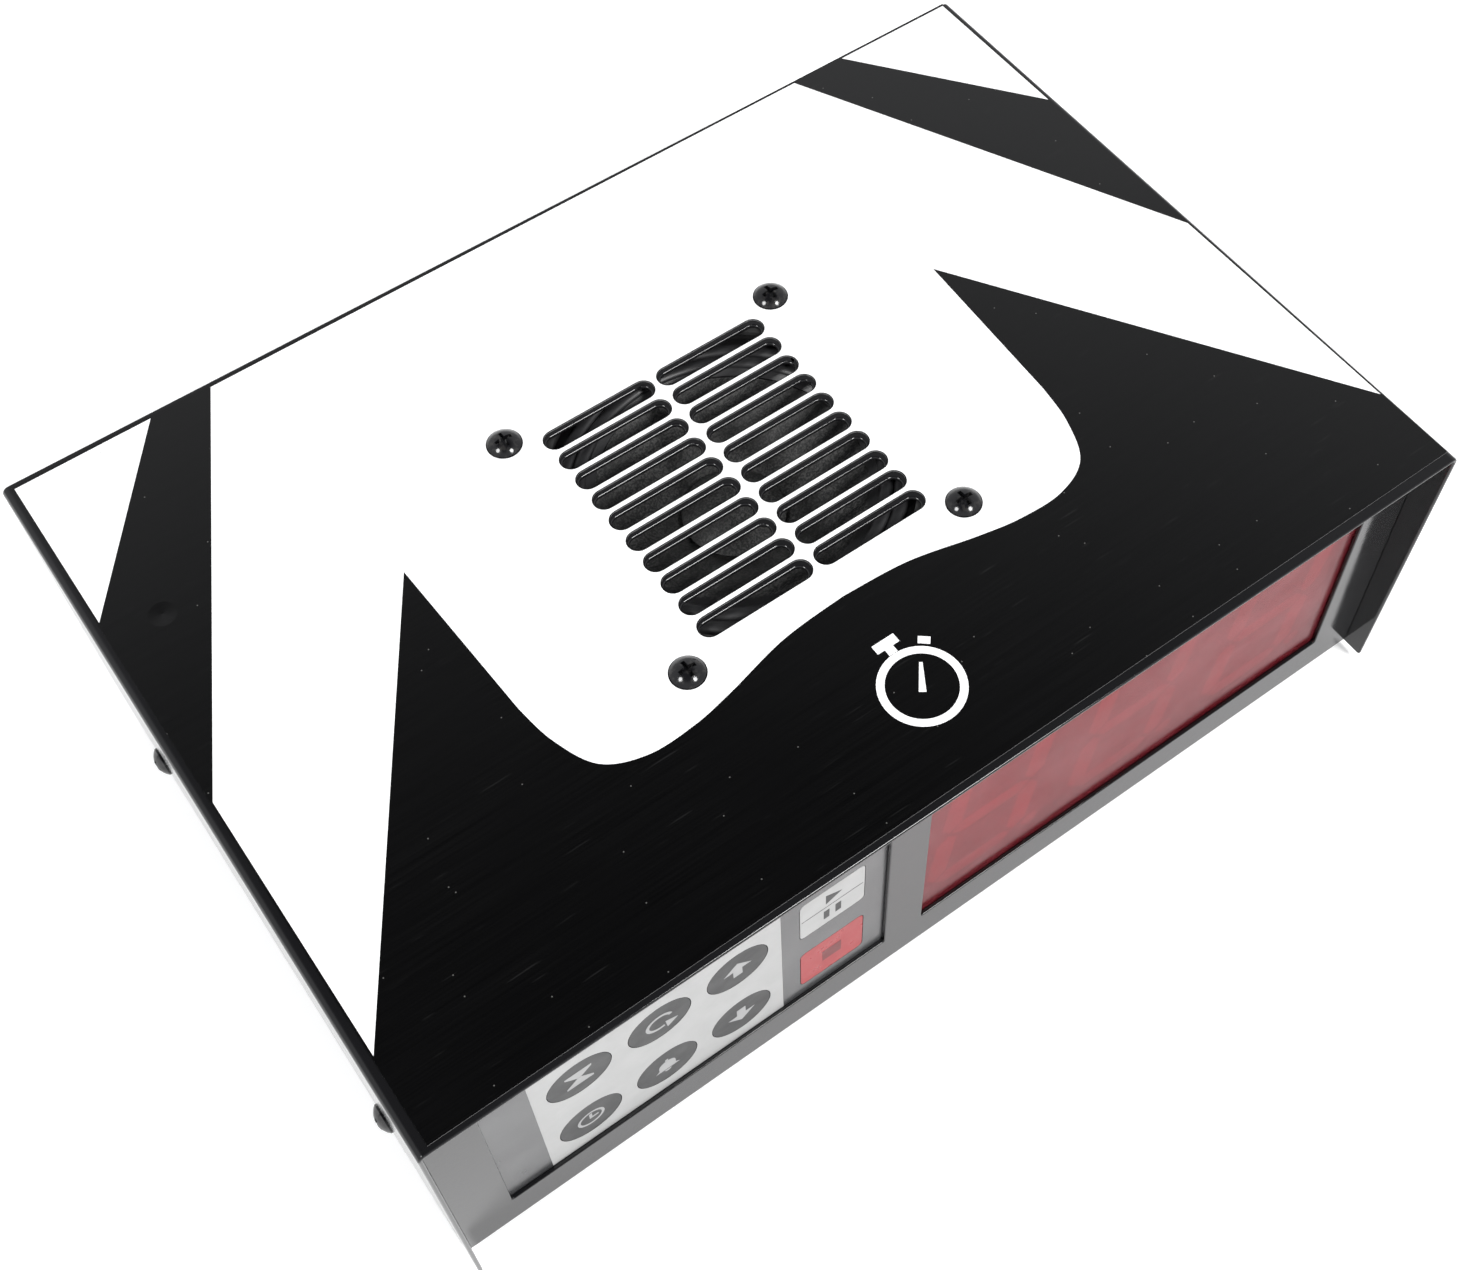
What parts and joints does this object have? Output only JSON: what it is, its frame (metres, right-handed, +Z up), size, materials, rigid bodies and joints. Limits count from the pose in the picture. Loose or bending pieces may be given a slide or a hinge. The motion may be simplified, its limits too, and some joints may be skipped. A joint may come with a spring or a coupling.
{
  "type": "gym round timer",
  "caption": "Black sheet-steel gym round timer box with a slotted speaker top, white and black printed lid, recessed membrane keypad and red LED digit window.",
  "frame": {"origin": "on the surface the rubber feet stand on, below the middle of the case", "axes": "+Z up, front panel with keypad and display faces -Y, +X to the right seen from the front"},
  "size_m": [0.3048, 0.207, 0.1051],
  "materials": {
    "black_paint": "smooth satin-gloss black paint",
    "overlay_print": "satin printed sheet, white and black",
    "black_screw": "glossy black plating",
    "bare_steel": "zinc-plated",
    "keypad_film": "printed film, satin",
    "key_grey": "printed film, satin",
    "key_white": "printed film, satin",
    "key_red": "printed film, satin",
    "red_window": "tinted see-through film",
    "foam_tape": "soft foam tape",
    "circuit_board": "solder mask",
    "digit_case": "moulded grey face",
    "digit_segment": "milky diffuser",
    "speaker_frame": "black pressed steel",
    "ferrite": "matt sintered ferrite",
    "cone_paper": "pressed paper pulp",
    "spider_cloth": "resin-stiffened cloth",
    "surround_rubber": "matt ridged rubber",
    "coil_copper": "enamelled winding",
    "chip_black": "moulded epoxy",
    "heatsink_aluminium": "extruded and anodised",
    "standoff_brass": "turned",
    "capacitor_sleeve": "shrunk sleeve",
    "header_nylon": "natural nylon",
    "ribbon_grey": "flat cable",
    "wire_sleeve": "insulated wire",
    "switch_plastic": "moulded black nylon",
    "foot_rubber": "moulded rubber"
  },
  "bodies": {
    "case": {"board_headers": "header_nylon", "board_screws": "bare_steel", "board_standoffs": "standoff_brass", "capacitors": "capacitor_sleeve", "chassis": "black_paint", "control_board": "circuit_board", "cover": "black_paint", "cover_nuts": "bare_steel", "cover_screws": "black_screw", "dc_inlet": "switch_plastic", "dc_inlet_nut": "bare_steel", "digit_minutes": "digit_case", "digit_seconds": "digit_case", "digit_segments": "digit_segment", "digit_tens": "digit_case", "display_board": "circuit_board", "display_ribbon": "ribbon_grey", "display_standoffs": "standoff_brass", "display_window": "red_window", "dome_switches": "bare_steel", "driver_chips": "chip_black", "foot_front_left": "foot_rubber", "foot_front_right": "foot_rubber", "foot_rear_left": "foot_rubber", "foot_rear_right": "foot_rubber", "heatsink": "heatsink_aluminium", "keypad_board": "circuit_board", "keypad_nuts": "bare_steel", "keypad_overlay": "keypad_film", "keypad_spacer": "foam_tape", "keypad_studs": "bare_steel", "keypad_tail": "ribbon_grey", "microcontroller": "chip_black", "power_leads": "wire_sleeve", "power_switch": "switch_plastic", "regulator": "chip_black", "speaker_back_plate": "bare_steel", "speaker_basket": "speaker_frame", "speaker_front_plate": "bare_steel", "speaker_gasket": "foam_tape", "speaker_lead": "wire_sleeve", "speaker_magnet": "ferrite", "speaker_nuts": "bare_steel", "speaker_screws": "black_screw", "speaker_spider": "spider_cloth", "speaker_surround": "surround_rubber", "top_overlay": "overlay_print", "window_gasket": "foam_tape"},
    "rocker": {"power_rocker": "switch_plastic"},
    "cone": {"speaker_cone": "cone_paper", "speaker_dust_cap": "cone_paper", "voice_coil": "coil_copper"},
    "key_rest_cap": {"key_rest": "key_grey"},
    "key_sets_cap": {"key_sets": "key_grey"},
    "key_up_cap": {"key_up": "key_grey"},
    "key_work_cap": {"key_work": "key_grey"},
    "key_beep_cap": {"key_beep": "key_grey"},
    "key_down_cap": {"key_down": "key_grey"},
    "key_start_pause_cap": {"key_start_pause": "key_white"},
    "key_stop_cap": {"key_stop": "key_red"}
  },
  "joints": [
    {"name": "key_rest_press", "type": "slide", "parent": "case", "child": "key_rest_cap", "axis": [0, 1, 0], "range_m": [0, 0.0004], "stiffness_N_per_m": 1500, "springref_m": -0.0001},
    {"name": "key_sets_press", "type": "slide", "parent": "case", "child": "key_sets_cap", "axis": [0, 1, 0], "range_m": [0, 0.0004], "stiffness_N_per_m": 1500, "springref_m": -0.0001},
    {"name": "key_up_press", "type": "slide", "parent": "case", "child": "key_up_cap", "axis": [0, 1, 0], "range_m": [0, 0.0004], "stiffness_N_per_m": 1500, "springref_m": -0.0001},
    {"name": "key_work_press", "type": "slide", "parent": "case", "child": "key_work_cap", "axis": [0, 1, 0], "range_m": [0, 0.0004], "stiffness_N_per_m": 1500, "springref_m": -0.0001},
    {"name": "key_beep_press", "type": "slide", "parent": "case", "child": "key_beep_cap", "axis": [0, 1, 0], "range_m": [0, 0.0004], "stiffness_N_per_m": 1500, "springref_m": -0.0001},
    {"name": "key_down_press", "type": "slide", "parent": "case", "child": "key_down_cap", "axis": [0, 1, 0], "range_m": [0, 0.0004], "stiffness_N_per_m": 1500, "springref_m": -0.0001},
    {"name": "key_start_pause_press", "type": "slide", "parent": "case", "child": "key_start_pause_cap", "axis": [0, 1, 0], "range_m": [0, 0.0004], "stiffness_N_per_m": 1500, "springref_m": -0.0001},
    {"name": "key_stop_press", "type": "slide", "parent": "case", "child": "key_stop_cap", "axis": [0, 1, 0], "range_m": [0, 0.0004], "stiffness_N_per_m": 1500, "springref_m": -0.0001},
    {"name": "power_rock", "type": "hinge", "parent": "case", "child": "rocker", "pos_m": [-0.112, 0.0948, 0.0292], "axis": [0, 0, 1], "range_deg": [0, 18]},
    {"name": "cone_stroke", "type": "slide", "parent": "case", "child": "cone", "axis": [0, 0, 1], "range_m": [-0.002, 0.002], "stiffness_N_per_m": 1200, "deforming": ["speaker_surround", "speaker_spider"]}
  ]
}
